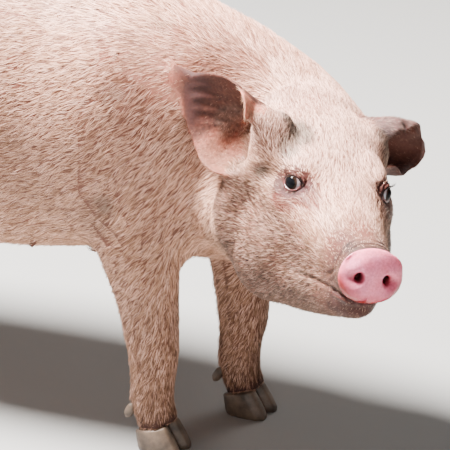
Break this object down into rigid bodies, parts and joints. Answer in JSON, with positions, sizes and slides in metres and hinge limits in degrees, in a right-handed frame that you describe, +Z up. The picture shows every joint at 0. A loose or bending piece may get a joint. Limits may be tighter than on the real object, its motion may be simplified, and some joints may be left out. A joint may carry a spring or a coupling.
{
  "type": "pig",
  "caption": "Young domestic pig standing with its head low and turned to its right, a still life-size model with a thin pale coat of bristles",
  "frame": {"origin": "on the floor under the middle of the whole pig's bounding box", "axes": "+X from rump to chest, +Y to the pig's left, +Z up"},
  "size_m": [1.0362, 0.3496, 0.5252],
  "materials": {
    "skin": "matte pink skin under pale bristles",
    "ear_skin": "matte grey-brown skin",
    "snout_skin": "moist pink skin",
    "horn": "dull horn",
    "eyeball": "wet gloss"
  },
  "bodies": {
    "root": {"trunk": "skin", "neck": "skin", "head": "skin", "tail": "skin", "fore_left_upper": "skin", "fore_left_lower": "skin", "fore_left_foot": "skin", "fore_left_claw_left": "horn", "fore_left_dewclaw_left": "horn", "fore_left_claw_right": "horn", "fore_left_dewclaw_right": "horn", "fore_right_upper": "skin", "fore_right_lower": "skin", "fore_right_foot": "skin", "fore_right_claw_left": "horn", "fore_right_dewclaw_left": "horn", "fore_right_claw_right": "horn", "fore_right_dewclaw_right": "horn", "hind_left_upper": "skin", "hind_left_lower": "skin", "hind_left_foot": "skin", "hind_left_claw_left": "horn", "hind_left_dewclaw_left": "horn", "hind_left_claw_right": "horn", "hind_left_dewclaw_right": "horn", "hind_right_upper": "skin", "hind_right_lower": "skin", "hind_right_foot": "skin", "hind_right_claw_left": "horn", "hind_right_dewclaw_left": "horn", "hind_right_claw_right": "horn", "hind_right_dewclaw_right": "horn", "ear_left": "ear_skin", "ear_right": "ear_skin", "snout_disc": "snout_skin", "eye_left": "eyeball", "eye_right": "eyeball"}
  },
  "joints": []
}
